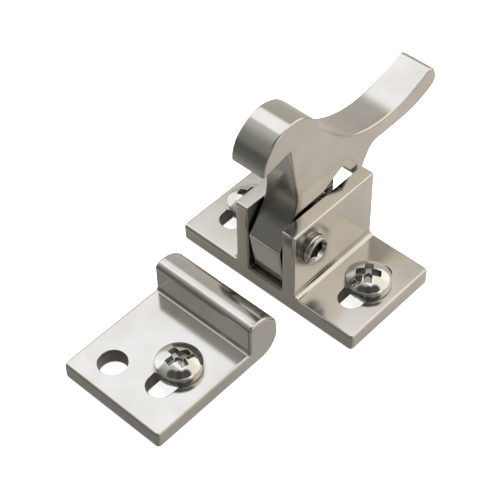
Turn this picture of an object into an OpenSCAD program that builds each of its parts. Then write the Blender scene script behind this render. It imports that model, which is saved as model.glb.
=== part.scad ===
// Elbow catch: a sprung lever with a rounded nose in a U bracket, and the strike that the nose hooks over.
// Millimetres. +Z points away from the mounting surface, +Y along the lever towards its handle, +X across.
// The origin is midway between the two base screws, on the mounting surface.

/* [Base bracket] */
// Length of the base plate, across the lever
base_l = 38.5; // [33:0.5:48]
// Depth of the base plate, along the lever
base_d = 20.5; // [19:0.5:26]
// Thickness of the base plate
base_t = 3.4; // [2.6:0.1:4.4]
// Clear gap between the two ears
ear_gap = 7.5; // [6.5:0.1:11]
// Thickness of each ear
ear_t = 2.75; // [1.9:0.05:3.2]
// Height of the ears above the mounting surface
ear_h = 18; // [16.5:0.25:19.5]
// Fillet between an ear's outer face and the plate
ear_fillet = 1; // [0.4:0.1:1.4]
// Rounding of the bracket's long edges
edge_r = 0.4; // [0.2:0.05:0.6]
// Rounding of the plate's corners, seen from above
corner_r = 0.7; // [0.4:0.1:2]

/* [Base slots and screws] */
// Distance between the two base screws
screw_spacing = 27.2; // [26:0.2:28.4]
// Base screws' distance from the plate's front face
screw_from_front = 11; // [9.5:0.25:12.5]
// Width of a base slot
base_slot_w = 4.4; // [4.2:0.1:5.2]
// Centre of a base slot's front end, from the plate's front face
base_slot_front = 6.6; // [5.5:0.1:7.5]
// Centre of a base slot's rear end, from the plate's front face
base_slot_back = 13.9; // [13:0.1:15]

/* [Screws] */
// Diameter over a screw's thread
thread_d = 4; // [3.7:0.1:4.1]
// Diameter of the plain neck under the head
neck_d = 3.6; // [3:0.1:3.9]
// Length of the plain neck under the head
neck_l = 3.4; // [2.5:0.1:4.5]
// Length of a screw under its head
shank_l = 16; // [10:1:30]
// Length of the thread's pointed end
point_l = 3; // [2:0.5:5]
// Diameter of the pan head
head_d = 8; // [7:0.1:8.8]
// Height of the pan head at its middle
head_h = 3.1; // [2.6:0.1:3.6]
// Height of the head's upright edge
head_edge_h = 1.6; // [1:0.1:1.8]
// Width of one slot of the cross recess
cross_w = 1.3; // [1:0.1:1.6]
// Length of one slot of the cross recess
cross_l = 4.8; // [4:0.1:5.2]
// Depth of the cross recess at the middle of the head
cross_depth = 1.9; // [1.4:0.1:2.2]

/* [Pivot] */
// Pivot centre's distance from the plate's front face
pivot_from_front = 4.9; // [4.6:0.1:5.6]
// Pivot centre's height above the mounting surface
pivot_h = 12.2; // [11.6:0.1:12.8]
// Diameter of the pivot screw
pivot_d = 5.1; // [4.8:0.1:5.6]
// Length of the pivot screw that stands out of the right ear
pivot_proud = 1.2; // [0.5:0.1:1.6]
// Rounding chamfer at the pivot screw's ends
pivot_chamfer = 0.3; // [0.1:0.05:0.5]
// Width across flats of the hexagon socket
socket_af = 3; // [2.5:0.1:3.2]
// Depth of the hexagon socket
socket_depth = 2.8; // [2:0.1:4]
// Diameter of the socket's countersunk mouth
socket_mouth_d = 4.2; // [3.8:0.1:4.4]

/* [Lever body, from the pivot centre] */
// Inner corner of the hook in front of (-) or behind (+) the pivot
hook_y = -2.5; // [-2.9:0.1:-2]
// Height of the inner corner of the hook
hook_z = 21.4; // [20.6:0.1:22]
// Slope of the hook's underside, in degrees
hook_slope = 12; // [6:1:18]
// Deepest corner of the hollow front face, along the lever
hollow_y = -0.2; // [-0.6:0.1:0.2]
// Height of the deepest corner of the hollow front face
hollow_z = 7.3; // [6.8:0.1:8.4]
// Radius of the hollow in the front face
hollow_r = 9; // [5:0.5:11]
// Foremost point of the hub below the hollow
crease_y = -5.1; // [-5.3:0.1:-4.6]
// Height of the foremost point of the hub
crease_z = 0.1; // [-0.6:0.1:0.6]
// Rounding of the hub's foremost point
crease_r = 1.2; // [0.6:0.1:1.8]
// Front end of the hub's flat foot, which stops the lever
foot_y = -3.7; // [-4:0.1:-3.2]
// Rounding at the front end of the hub's foot
foot_r = 1.3; // [0.4:0.1:1.8]
// Back of the hub behind the pivot
hub_back = 4.7; // [4.3:0.1:5]

/* [Lever nose and handle, from the pivot centre] */
// Radius of the rounded nose
nose_r = 6.7; // [6.2:0.1:7.4]
// Centre of the nose along the lever
nose_y = -1.95; // [-2.5:0.05:-1.5]
// Height of the nose's centre
nose_z = 20.4; // [19.9:0.1:21]
// Lowest point of the handle's hollow top, along the lever
saddle_y = 21.8; // [20.5:0.1:23.5]
// Height of the lowest point of the handle's hollow top
saddle_z = 12.1; // [11.7:0.1:12.7]
// Radius of the upward curl at the handle's end
curl_r = 27; // [24:0.5:34]
// Centre of the round handle tip, along the lever
tip_y = 33.4; // [31.5:0.1:36.5]
// Radius of the handle tip
tip_r = 2.1; // [1.8:0.05:2.4]
// Rounding of the handle tip's upper edge
tip_top_r = 1.2; // [0.8:0.1:1.6]
// Height of the handle's flat underside
under_z = 8.6; // [8.2:0.05:8.9]
// End of the handle's flat underside, along the lever
under_y = 25.6; // [24.5:0.1:26.5]

/* [Lever tooth and notch, from the pivot centre] */
// Front end of the notch's roof, above the hub's back
roof_z = 5.5; // [5.2:0.1:6.2]
// Top corner of the notch along the lever
notch_y = 10.9; // [10.3:0.1:11.5]
// Height of the top corner of the notch
notch_z = 8.6; // [8.1:0.1:9]
// Tip of the tooth along the lever
tooth_y = 15.2; // [14.6:0.1:15.6]
// Height of the tip of the tooth
tooth_z = 2.8; // [2:0.1:3.5]
// Rounding of the tooth's tip
tooth_r = 0.7; // [0.4:0.1:1]
// Back corner between tooth and handle, along the lever
tooth_back_y = 18.5; // [17.9:0.1:19.4]
// Fillet between tooth and handle
tooth_fillet = 2.5; // [1.5:0.1:3]

/* [Return spring] */
// Outer diameter of the coil
spring_d = 4.6; // [3.8:0.1:5.2]
// Diameter of the spring wire
wire_d = 0.7; // [0.5:0.05:0.9]
// Number of open turns between the closed ends
spring_turns = 12; // [6:1:13]
// Spring's axis behind the pivot
spring_y = 9.1; // [8.9:0.1:9.5]
// Depth of the spring's seat in the base plate
floor_seat = 0.6; // [0.3:0.1:1]
// Height of the lever's spring seat above the pivot
lever_seat_z = 9.5; // [9.1:0.1:10]

/* [Strike] */
// Width of the strike, across the lever
strike_w = 21.6; // [18:0.2:30]
// Depth of the strike's flat plate, up to the bead
strike_plate_d = 21.4; // [19.5:0.1:26]
// Depth of the strike over its bead
strike_d = 28.1; // [27.2:0.1:34]
// Thickness of the strike's plate
strike_t = 3.4; // [2.6:0.1:4.2]
// Height of the strike's bead
bead_h = 9.7; // [9.2:0.1:11]
// Rounding of the bead's top, on the side that the nose rides over
bead_back_r = 4.9; // [4:0.1:5.1]
// Rounding of the bead's underside
bead_under_r = 3.9; // [3:0.1:4]
// Rounding of the bead's front top edge
bead_front_r = 1.2; // [0.5:0.1:1.6]
// Fillet between the plate and the bead
bead_fillet = 0.5; // [0.2:0.1:0.8]
// Gap between the strike's bead and the base plate, as laid out
strike_gap = 6.9; // [3:0.1:20]
// Strike's sideways place, as laid out
strike_x = -1.55; // [-4:0.05:4]
// Diameter of the strike's round hole
strike_hole_d = 5; // [4.4:0.1:5.4]
// Round hole's distance from the strike's centre line
strike_hole_x = 4.9; // [4.4:0.1:5.6]
// Round hole's distance from the strike's front edge
strike_hole_front = 5.5; // [4.4:0.1:6.4]
// Width of the strike's slot
strike_slot_w = 4.8; // [4.4:0.1:5.2]
// Slot's distance from the strike's centre line
strike_slot_x = 4.1; // [3.8:0.1:5]
// Centre of the slot's front end, from the strike's front edge
strike_slot_front = 7.4; // [6.5:0.1:8]
// Centre of the slot's rear end, from the strike's front edge
strike_slot_back = 12.9; // [12.2:0.1:13.6]
// Strike screw's distance from the strike's front edge
strike_screw_front = 11.9; // [10:0.1:12.1]
// Strike screw's sideways play in the slot
strike_screw_side = -0.25; // [-0.35:0.05:0.35]

/* [Fits] */
// Gap between the lever's sides and the ears
side_gap = 0.35; // [0.2:0.05:0.9]
// Gap between the lever's foot and the base plate at rest
foot_gap = 0.05; // [0.02:0.01:0.2]
// Radial clearance of the pivot screw in the ears
ear_fit = 0.02; // [0.01:0.01:0.04]
// Radial clearance of the lever on the pivot screw
lever_fit = 0.06; // [0.03:0.01:0.1]
// Radial clearance of the spring in its seats
seat_fit = 0.25; // [0.15:0.05:0.4]

/* [Hidden] */
$fn = 96;

nickel = "#b9b4ab";
bright = "#d6d6d2";
steel = "#8e8c88";

// How far a cutting shape runs past the face that it cuts
over = 1;
// Share by which a corner's fillet shape reaches past the corner
corner_over = 0.1;
// Share of the belly's full arc that is used, so that a short straight run parts it from the tip
belly_share = 0.96;
// How far the socket's countersink runs past the socket's flats and past the screw's end
mouth_over = 0.3;
// Smallest rounding, where the real edge is only broken
broken_edge = 0.4;

base_front = -screw_from_front;
base_back = base_front + base_d;
ear_outer = ear_gap / 2 + ear_t;
pivot_y = base_front + pivot_from_front;
lever_w = ear_gap - 2 * side_gap;
strike_front = base_front - strike_gap - strike_d;
strike_screw_x = strike_x + strike_slot_x + strike_screw_side;
strike_screw_y = strike_front + strike_screw_front;

// Lever outline, in the plane across the pivot: [along the lever, up]
foot_z = base_t + foot_gap - pivot_h;
nose = [nose_y, nose_z];
hook = [hook_y, hook_z];
// The hollow top is tangent to the nose and level at its lowest point
saddle_r = (pow(saddle_y - nose_y, 2) + pow(saddle_z - nose_z, 2) - pow(nose_r, 2))
           / (2 * (nose_r - saddle_z + nose_z));
saddle_centre = [saddle_y, saddle_z + saddle_r];
saddle_angle = asin((saddle_y - nose_y) / (saddle_r + nose_r));
nose_joint = toward(nose, saddle_centre, nose_r);
// The handle's end curls up, tangent to the hollow and to the round tip
curl_angle = asin((tip_y - saddle_y) / (curl_r + tip_r));
tip = [tip_y, saddle_z + curl_r - (curl_r + tip_r) * cos(curl_angle)];
// The underside leaves its flat part in an arc that is tangent to the tip
belly_rise = tip[1] - under_z;
belly_r = (pow(tip_y - under_y, 2) + pow(belly_rise, 2) - pow(tip_r, 2)) / (2 * (belly_rise - tip_r));
belly_angle = asin((tip_y - under_y) / (belly_r - tip_r));
tip_angle = (belly_angle + curl_angle) / 2;
tip_low = tip_corner(belly_angle - 90, tip_angle);
tip_high = tip_corner(tip_angle, curl_angle + 90);

// Each corner of the lever's outline: [along, up, rounding]
lever_corners = [
    [hook[0], hook[1], 0],
    [hollow_y, hollow_z, hollow_r],
    [crease_y, crease_z, crease_r],
    [foot_y, foot_z, foot_r],
    [hub_back, foot_z, hub_back],
    [hub_back, roof_z, broken_edge],
    [notch_y, notch_z, broken_edge],
    [tooth_y, tooth_z, tooth_r],
    [tooth_back_y, under_z, tooth_fillet],
    [under_y + belly_r * tan(belly_angle / 2), under_z, belly_share * belly_r],
    [tip_low[0], tip_low[1], tip_r],
    [tip_high[0], tip_high[1], tip_top_r],
    [saddle_y + curl_r * tan(curl_angle / 2), saddle_z, curl_r],
    [saddle_y - saddle_r * tan(saddle_angle / 2), saddle_z, saddle_r],
    [nose_joint[0], nose_joint[1], 0],
    [nose[0], nose[1], 0],
];

// Each corner of the bracket's front view: [across, up, rounding]
base_half = [
    [base_l / 2, 0, 0],
    [base_l / 2, base_t, edge_r],
    [ear_outer, base_t, ear_fillet],
    [ear_outer, ear_h, edge_r],
    [ear_gap / 2, ear_h, edge_r],
    [ear_gap / 2, base_t, edge_r],
];
base_corners = concat(base_half, [for (i = [len(base_half) - 1 : -1 : 0])
    [-base_half[i][0], base_half[i][1], base_half[i][2]]]);

// Each corner of the strike's side view: [along, up, rounding]
strike_corners = [
    [0, 0, 0],
    [strike_d, 0, bead_under_r],
    [strike_d, bead_h, bead_back_r],
    [strike_plate_d, bead_h, bead_front_r],
    [strike_plate_d, strike_t, bead_fillet],
    [0, strike_t, edge_r],
];

// Return spring
spring_bottom = base_t - floor_seat;
spring_top = pivot_h + lever_seat_z;
spring_mean_r = (spring_d - wire_d) / 2;
spring_seat_r = spring_d / 2 + seat_fit;
spring_gap = 0.02;
spring_all_turns = spring_turns + 2;
spring_ring_steps = 12;
spring_sides = 8;

// Point at a distance from a, on the way to b
function toward(a, b, distance) = a + distance * (b - a) / norm(b - a);
// Corner of the two tangents of the round tip whose outward directions are given
function tip_corner(one, other) =
    tip + tip_r / cos((other - one) / 2) * [cos((one + other) / 2), sin((one + other) / 2)];
function flat2(p) = [p[0], p[1]];
function turn(a, b, c) = (b[0] - a[0]) * (c[1] - b[1]) - (b[1] - a[1]) * (c[0] - b[0]);
// Angle at corner b, between the ways to a and to c
function corner_angle(a, b, c) = acos((a - b) * (c - b) / (norm(a - b) * norm(c - b)));

// Height of the wire's centre at a number of turns from the bottom: closed end turns, then even open ones
function wire_z(t) =
    let (low = spring_bottom + spring_gap + wire_d / 2, high = spring_top - spring_gap - wire_d / 2)
    t <= 1 ? low + wire_d * t
    : t >= spring_all_turns - 1 ? high - wire_d * (spring_all_turns - t)
    : low + wire_d + (high - low - 2 * wire_d) * (t - 1) / spring_turns;

// The sliver between a corner and the arc that rounds it
module corner_bit(a, b, c, r) {
    half = corner_angle(a, b, c) / 2;
    reach = r / tan(half);
    from = toward(b, a, reach);
    to = toward(b, c, reach);
    centre = b + (toward(b, a, 1) + toward(b, c, 1) - 2 * b) * r / (2 * sin(half) * cos(half));
    difference() {
        polygon([from, b + corner_over * (b - centre), to]);
        translate(centre) circle(r);
    }
}

// A polygon whose corners [x, y, rounding] run anticlockwise, with true arcs at its corners
module rounded_polygon(corners) {
    count = len(corners);
    difference() {
        union() {
            polygon([for (p = corners) flat2(p)]);
            corner_bits(corners, count, -1);
        }
        corner_bits(corners, count, 1);
    }
}

// The slivers of all corners that turn one way: 1 for outer corners, -1 for inner ones
module corner_bits(corners, count, way) {
    for (i = [0 : count - 1]) {
        a = flat2(corners[(i + count - 1) % count]);
        b = flat2(corners[i]);
        c = flat2(corners[(i + 1) % count]);
        if (corners[i][2] > 0 && sign(turn(a, b, c)) == way)
            corner_bit(way > 0 ? a : c, b, way > 0 ? c : a, corners[i][2]);
    }
}

// A rectangle in plan with four equal corner arcs
module rounded_plate(low, high, r) {
    rounded_polygon([[low[0], low[1], r], [high[0], low[1], r], [high[0], high[1], r], [low[0], high[1], r]]);
}

// A slot along Y between two end centres
module slot_cut(x, from_y, to_y, width, height) {
    translate([x, from_y, -over]) cylinder(d = width, h = height + 2 * over);
    translate([x, to_y, -over]) cylinder(d = width, h = height + 2 * over);
    translate([x - width / 2, from_y, -over]) cube([width, to_y - from_y, height + 2 * over]);
}

module catch_base() {
    color(nickel) difference() {
        intersection() {
            translate([0, base_back, 0]) rotate([90, 0, 0]) linear_extrude(base_d) rounded_polygon(base_corners);
            translate([0, 0, -over]) linear_extrude(ear_h + 2 * over)
                rounded_plate([-base_l / 2, base_front], [base_l / 2, base_back], corner_r);
        }
        for (side = [-1, 1])
            slot_cut(side * screw_spacing / 2, base_front + base_slot_front, base_front + base_slot_back,
                     base_slot_w, base_t);
        translate([0, pivot_y, pivot_h]) rotate([0, 90, 0])
            cylinder(r = pivot_d / 2 + ear_fit, h = 2 * (ear_outer + over), center = true);
        translate([0, pivot_y + spring_y, spring_bottom]) cylinder(r = spring_seat_r, h = floor_seat + over);
    }
}

module lever_profile() {
    rounded_polygon(lever_corners);
    difference() {
        translate(nose) circle(nose_r);
        translate(hook) hook_cut();
    }
}

// What the hook leaves open: in front of the lever's face and below the nose
module hook_cut() {
    face = flat2(lever_corners[1]) - hook;
    underside = [-2 * nose_r * cos(hook_slope), -2 * nose_r * sin(hook_slope)];
    polygon([[0, 0], underside, [underside[0], face[1]], face]);
}

module lever() {
    color(nickel) translate([0, pivot_y, pivot_h]) difference() {
        rotate([90, 0, 90]) linear_extrude(lever_w, center = true) lever_profile();
        rotate([0, 90, 0]) cylinder(r = pivot_d / 2 + lever_fit, h = lever_w + 2 * over, center = true);
        translate([0, spring_y, tooth_z]) cylinder(r = spring_seat_r, h = lever_seat_z - tooth_z);
    }
}

module pivot_screw() {
    length = 2 * ear_outer + pivot_proud;
    socket_r = socket_af / 2 / cos(30);
    mouth_h = (socket_mouth_d - socket_af) / 2;
    color(steel) translate([-ear_outer, pivot_y, pivot_h]) rotate([0, 90, 0]) difference() {
        union() {
            cylinder(d1 = pivot_d - 2 * pivot_chamfer, d2 = pivot_d, h = pivot_chamfer);
            translate([0, 0, pivot_chamfer]) cylinder(d = pivot_d, h = length - 2 * pivot_chamfer);
            translate([0, 0, length - pivot_chamfer])
                cylinder(d1 = pivot_d, d2 = pivot_d - 2 * pivot_chamfer, h = pivot_chamfer);
        }
        translate([0, 0, length - socket_depth]) rotate(30) cylinder(r = socket_r, h = socket_depth + over, $fn = 6);
        translate([0, 0, length - mouth_h - mouth_over])
            cylinder(r1 = socket_af / 2 - mouth_over, r2 = socket_mouth_d / 2 + mouth_over,
                     h = mouth_h + 2 * mouth_over);
    }
}

// A coil of round wire as one closed tube
module return_spring() {
    rings = spring_all_turns * spring_ring_steps;
    points = [for (i = [0 : rings], k = [0 : spring_sides - 1])
        let (angle = 360 * i / spring_ring_steps,
             around = 360 * k / spring_sides,
             r = spring_mean_r + wire_d / 2 * cos(around))
        [r * cos(angle), r * sin(angle), wire_z(i / spring_ring_steps) + wire_d / 2 * sin(around)]];
    sides = [for (i = [0 : rings - 1], k = [0 : spring_sides - 1])
        let (next = (k + 1) % spring_sides, row = i * spring_sides)
        [row + k, row + next, row + spring_sides + next, row + spring_sides + k]];
    start = [for (k = [spring_sides - 1 : -1 : 0]) k];
    end = [for (k = [0 : spring_sides - 1]) rings * spring_sides + k];
    color(steel) translate([0, pivot_y + spring_y, 0]) polyhedron(points, concat([start], sides, [end]));
}

// A pan-head screw whose head sits on a plate at the given height
module pan_screw(seat_z) {
    dome_r = (pow(head_d / 2, 2) + pow(head_h - head_edge_h, 2)) / (2 * (head_h - head_edge_h));
    color(bright) translate([0, 0, seat_z]) {
        difference() {
            intersection() {
                cylinder(d = head_d, h = head_h + over);
                translate([0, 0, head_h - dome_r]) sphere(dome_r);
            }
            for (angle = [0, 90])
                rotate(angle) translate([-cross_l / 2, -cross_w / 2, head_h - cross_depth])
                    cube([cross_l, cross_w, cross_depth + over]);
        }
        translate([0, 0, -neck_l]) cylinder(d = neck_d, h = neck_l);
        translate([0, 0, point_l - shank_l]) cylinder(d = thread_d, h = shank_l - point_l - neck_l);
        translate([0, 0, -shank_l]) cylinder(d1 = 0, d2 = thread_d, h = point_l);
    }
}

module base_screw_left() { translate([-screw_spacing / 2, 0, 0]) pan_screw(base_t); }
module base_screw_right() { translate([screw_spacing / 2, 0, 0]) pan_screw(base_t); }

module strike_plate() {
    color(nickel) translate([strike_x, strike_front, 0]) difference() {
        intersection() {
            rotate([90, 0, 90]) linear_extrude(strike_w, center = true) rounded_polygon(strike_corners);
            translate([0, 0, -over]) linear_extrude(bead_h + 2 * over)
                rounded_plate([-strike_w / 2, 0], [strike_w / 2, strike_d + corner_r], corner_r);
        }
        translate([-strike_hole_x, strike_hole_front, -over]) cylinder(d = strike_hole_d, h = strike_t + 2 * over);
        slot_cut(strike_slot_x, strike_slot_front, strike_slot_back, strike_slot_w, strike_t);
    }
}

module strike_screw() { translate([strike_screw_x, strike_screw_y, 0]) pan_screw(strike_t); }

catch_base();
lever();
pivot_screw();
return_spring();
base_screw_left();
base_screw_right();
strike_plate();
strike_screw();
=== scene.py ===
"""Looks of an elbow catch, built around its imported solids: sprung lever, U bracket, strike and screws."""

import math

import bmesh
import bpy
import numpy as np
from mathutils import Matrix, Vector


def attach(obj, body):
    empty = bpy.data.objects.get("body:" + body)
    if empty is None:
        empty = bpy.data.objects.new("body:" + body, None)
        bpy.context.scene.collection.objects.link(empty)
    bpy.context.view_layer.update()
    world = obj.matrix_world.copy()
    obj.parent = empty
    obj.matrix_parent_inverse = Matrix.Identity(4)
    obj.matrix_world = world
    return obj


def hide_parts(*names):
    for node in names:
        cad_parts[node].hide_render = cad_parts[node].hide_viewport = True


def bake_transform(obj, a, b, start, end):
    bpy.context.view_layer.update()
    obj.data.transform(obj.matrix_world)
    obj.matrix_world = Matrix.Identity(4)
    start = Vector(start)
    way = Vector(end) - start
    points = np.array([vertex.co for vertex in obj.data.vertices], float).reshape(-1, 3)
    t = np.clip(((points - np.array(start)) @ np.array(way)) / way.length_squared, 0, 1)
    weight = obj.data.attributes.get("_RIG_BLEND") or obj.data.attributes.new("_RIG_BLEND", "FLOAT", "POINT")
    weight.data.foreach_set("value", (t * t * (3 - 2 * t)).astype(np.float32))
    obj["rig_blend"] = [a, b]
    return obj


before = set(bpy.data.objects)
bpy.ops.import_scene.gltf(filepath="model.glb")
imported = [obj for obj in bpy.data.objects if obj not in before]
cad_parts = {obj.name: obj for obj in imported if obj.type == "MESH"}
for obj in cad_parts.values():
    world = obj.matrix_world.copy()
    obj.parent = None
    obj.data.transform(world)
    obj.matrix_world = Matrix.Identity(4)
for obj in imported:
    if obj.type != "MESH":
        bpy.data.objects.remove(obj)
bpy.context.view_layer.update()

bl_info = {
    "name": "Elbow catch",
    "version": (1, 0, 0),
    "blender": (4, 5, 0),
    "location": "View3D > Sidebar > Elbow catch",
    "description": "Builds the nickel-plated pieces of an elbow catch on its packed solids",
    "category": "Object",
}

MM = 0.001
# Turn between two neighbouring points of an arc
ARC_STEP = math.radians(3)
# Edges that turn by more than this are rounded
EDGE_TURN = math.radians(25)
# Shares of a piece's rounding that the upper rims of its holes, and the tops of the ears, get
RIM_SHARE = 0.35
EAR_SHARE = 0.75
# How much painted shade the inner sides of the ears and the screws' recesses get, beside the full share on
# the walls of holes
EAR_SHADE = 0.5
RECESS_SHADE = 0.45
# Name of the mark on faces that get painted shade and more roughness
SHADED_WALL = "shaded_wall"
# How far a cutting shape runs past the face that it cuts, in millimetres
OVER = 1.0

# Places of the part, in millimetres, in the shared frame
BASE_FRONT = -11.0
BASE_BACK = 9.5
BASE_HALF = 19.25
PLATE_T = 3.4
EAR_INNER = 3.75
EAR_OUTER = 6.5
EAR_TOP = 18.0
PIVOT = np.array([-6.1, 12.2])
PIVOT_R = 2.55
PIVOT_END = 7.7
PLAN_R = 0.7
BASE_SLOT_X = 13.6
BASE_SLOT_ENDS = (-4.4, 2.9)
BASE_SLOT_R = 2.2
SPRING_Y = 3.0
SPRING_Z = (2.8, 21.7)
SPRING_SEAT_R = 2.55
STRIKE_X = -1.55
STRIKE_FRONT = -46.0
STRIKE_HALF = 10.8
STRIKE_DEPTH = 28.1
BEAD_H = 9.7
BEAD_WALL = 21.4
# The strike's hole and slot, measured across from its middle and along from its front edge
STRIKE_HOLE = (-4.9, 5.5)
STRIKE_HOLE_R = 2.5
STRIKE_SLOT_X = 4.1
STRIKE_SLOT_ENDS = (7.4, 12.9)
STRIKE_SLOT_R = 2.4
# How near a hole an edge or a wall counts as the hole's own
NEAR = 0.4
LEVER_SIDES = (-3.4, 3.4)
SCREWS = {
    "base_screw_left": (-BASE_SLOT_X, 0.0, "catch"),
    "base_screw_right": (BASE_SLOT_X, 0.0, "catch"),
    "strike_screw": (2.3, -34.1, "strike"),
}
HEAD_R = 4.0
HEAD_H = 3.1
HEAD_EDGE_H = 1.6
DOME_R = (HEAD_R ** 2 + (HEAD_H - HEAD_EDGE_H) ** 2) / (2 * (HEAD_H - HEAD_EDGE_H))


class CatchSizes(bpy.types.PropertyGroup):
    """Small sizes that the looks add to the solids."""

    bracket_edge: bpy.props.FloatProperty(
        name="Bracket edge", description="Rounding of the bracket's cast edges",
        default=0.5 * MM, min=0.05 * MM, max=0.65 * MM, precision=5, unit="LENGTH")
    lever_edge: bpy.props.FloatProperty(
        name="Lever edge", description="Rounding of the lever's side edges",
        default=0.42 * MM, min=0.05 * MM, max=0.55 * MM, precision=5, unit="LENGTH")
    strike_edge: bpy.props.FloatProperty(
        name="Strike edge", description="Rounding of the strike's edges",
        default=0.52 * MM, min=0.05 * MM, max=0.65 * MM, precision=5, unit="LENGTH")
    thread_pitch: bpy.props.FloatProperty(
        name="Thread pitch", description="Distance between two turns of the screw thread",
        default=1.6 * MM, min=0.8 * MM, max=2.5 * MM, precision=5, unit="LENGTH")
    thread_depth: bpy.props.FloatProperty(
        name="Thread depth", description="Height of the screw thread over its core",
        default=0.5 * MM, min=0.2 * MM, max=0.7 * MM, precision=5, unit="LENGTH")
    left_turn: bpy.props.FloatProperty(
        name="Left screw turn", description="How far the left base screw's cross is turned",
        default=math.radians(12), unit="ROTATION", subtype="ANGLE")
    right_turn: bpy.props.FloatProperty(
        name="Right screw turn", description="How far the right base screw's cross is turned",
        default=math.radians(34), unit="ROTATION", subtype="ANGLE")
    strike_turn: bpy.props.FloatProperty(
        name="Strike screw turn", description="How far the strike screw's cross is turned",
        default=math.radians(-14), unit="ROTATION", subtype="ANGLE")


class CatchFinish(bpy.types.PropertyGroup):
    """Colours of the plated and bare metals."""

    nickel: bpy.props.FloatVectorProperty(
        name="Nickel", description="Satin nickel plate on the castings",
        default=(0.62, 0.61, 0.58), min=0, max=1, size=3, subtype="COLOR")
    nickel_shade: bpy.props.FloatVectorProperty(
        name="Nickel shade", description="Slightly warmer cloud in the nickel plate",
        default=(0.565, 0.545, 0.50), min=0, max=1, size=3, subtype="COLOR")
    bright: bpy.props.FloatVectorProperty(
        name="Bright plate", description="Polished plate on the screws",
        default=(0.68, 0.68, 0.64), min=0, max=1, size=3, subtype="COLOR")
    bright_shade: bpy.props.FloatVectorProperty(
        name="Bright plate shade", description="Duller cloud in the screws' plate",
        default=(0.58, 0.575, 0.53), min=0, max=1, size=3, subtype="COLOR")
    pivot: bpy.props.FloatVectorProperty(
        name="Pivot steel", description="Steel of the pivot screw",
        default=(0.62, 0.60, 0.56), min=0, max=1, size=3, subtype="COLOR")
    pivot_shade: bpy.props.FloatVectorProperty(
        name="Pivot steel shade", description="Darker cloud in the pivot steel",
        default=(0.50, 0.48, 0.44), min=0, max=1, size=3, subtype="COLOR")
    spring: bpy.props.FloatVectorProperty(
        name="Spring steel", description="Drawn wire of the return spring",
        default=(0.36, 0.35, 0.33), min=0, max=1, size=3, subtype="COLOR")
    spring_shade: bpy.props.FloatVectorProperty(
        name="Spring steel shade", description="Oiled, darker stretches of the wire",
        default=(0.24, 0.23, 0.21), min=0, max=1, size=3, subtype="COLOR")
    floor: bpy.props.FloatVectorProperty(
        name="Floor", description="Pale floor under the part",
        default=(0.93, 0.93, 0.93), min=0, max=1, size=3, subtype="COLOR")


def unit(v):
    return v / np.linalg.norm(v)


def rounded_outline(corners, step=ARC_STEP):
    """Closed outline of corners [a, b, r] whose corners are true arcs: each arc runs from one tangent point
    to the other about the centre that lies r / sin(half angle) from the corner, on its bisector."""
    corners = np.asarray(corners, float)
    runs = []
    for before, corner, after in zip(np.roll(corners, 1, 0), corners, np.roll(corners, -1, 0)):
        at, r = corner[:2], corner[2]
        if r == 0:
            runs.append(at[None])
            continue
        back, on = unit(before[:2] - at), unit(after[:2] - at)
        half = math.acos(np.clip(back @ on, -1, 1)) / 2
        centre = at + unit(back + on) * r / math.sin(half)
        first = at + back * r / math.tan(half) - centre
        last = at + on * r / math.tan(half) - centre
        start = math.atan2(first[1], first[0])
        sweep = (math.atan2(last[1], last[0]) - start + math.pi) % (2 * math.pi) - math.pi
        angle = start + sweep * np.linspace(0, 1, max(3, math.ceil(abs(sweep) / step) + 1))
        runs.append(centre + r * np.stack([np.cos(angle), np.sin(angle)], 1))
    return np.concatenate(runs)


def carried(outline, low, high, lift):
    """Closed solid of an outline carried straight from low to high: P(s, t) = lift(outline(s), t)."""
    count = len(outline)
    ring = np.arange(count)
    ahead = np.roll(ring, -1)
    points = np.concatenate([lift(outline, low), lift(outline, high)])
    sides = np.stack([ring, ahead, ahead + count, ring + count], 1)
    return points, sides.tolist() + [ring[::-1].tolist(), (ring + count).tolist()]


def across(outline, x):
    """Outline [along, up] set at a place across the part."""
    return np.stack([np.full(len(outline), x), outline[:, 0], outline[:, 1]], 1)


def along(outline, y):
    """Outline [across, up] set at a place along the part."""
    return np.stack([outline[:, 0], np.full(len(outline), y), outline[:, 1]], 1)


def upward(outline, z):
    """Outline [across, along] set at a height."""
    return np.stack([outline[:, 0], outline[:, 1], np.full(len(outline), z)], 1)


def circle(centre, r, count=96, turn=0.0):
    """Points of a circle, or of a regular polygon: centre + r (cos a, sin a)."""
    angle = turn + np.arange(count) * 2 * math.pi / count
    return np.asarray(centre) + r * np.stack([np.cos(angle), np.sin(angle)], 1)


def slot_outline(x, low_y, high_y, r):
    """A straight slot along the part with two half-round ends, as points [across, along]."""
    return rounded_outline([[x - r, low_y - r, r], [x + r, low_y - r, r], [x + r, high_y + r, r],
                            [x - r, high_y + r, r]])


def turned(radius, height, top, bottom):
    """Closed surface of radii R(v, a) turned about the upright axis: P = (R cos a, R sin a, Z(v)), with a
    pole at the top and one at the bottom."""
    rows, count = radius.shape
    angle = np.arange(count) * 2 * math.pi / count
    rings = np.stack([radius * np.cos(angle), radius * np.sin(angle),
                      np.repeat(height[:, None], count, 1)], 2).reshape(-1, 3)
    points = np.concatenate([rings, [[0, 0, top], [0, 0, bottom]]])
    ring = np.arange(count)
    ahead = np.roll(ring, -1)
    row = np.arange(rows - 1)[:, None] * count
    quads = np.stack([row + ring, row + count + ring, row + count + ahead, row + ahead], 2).reshape(-1, 4)
    last = (rows - 1) * count
    crown = np.stack([np.full(count, rows * count), ring, ahead], 1)
    point = np.stack([np.full(count, rows * count + 1), last + ahead, last + ring], 1)
    return points, quads.tolist() + crown.tolist() + point.tolist()


def make_object(name, points, faces):
    """A mesh object at the origin from points in millimetres, with its faces outwards and smooth."""
    mesh = bpy.data.meshes.new(name)
    mesh.from_pydata((np.asarray(points) * MM).tolist(), [], faces)
    made = bpy.data.objects.new(name, mesh)
    bpy.context.scene.collection.objects.link(made)
    tidy_mesh(mesh)
    return made


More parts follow.
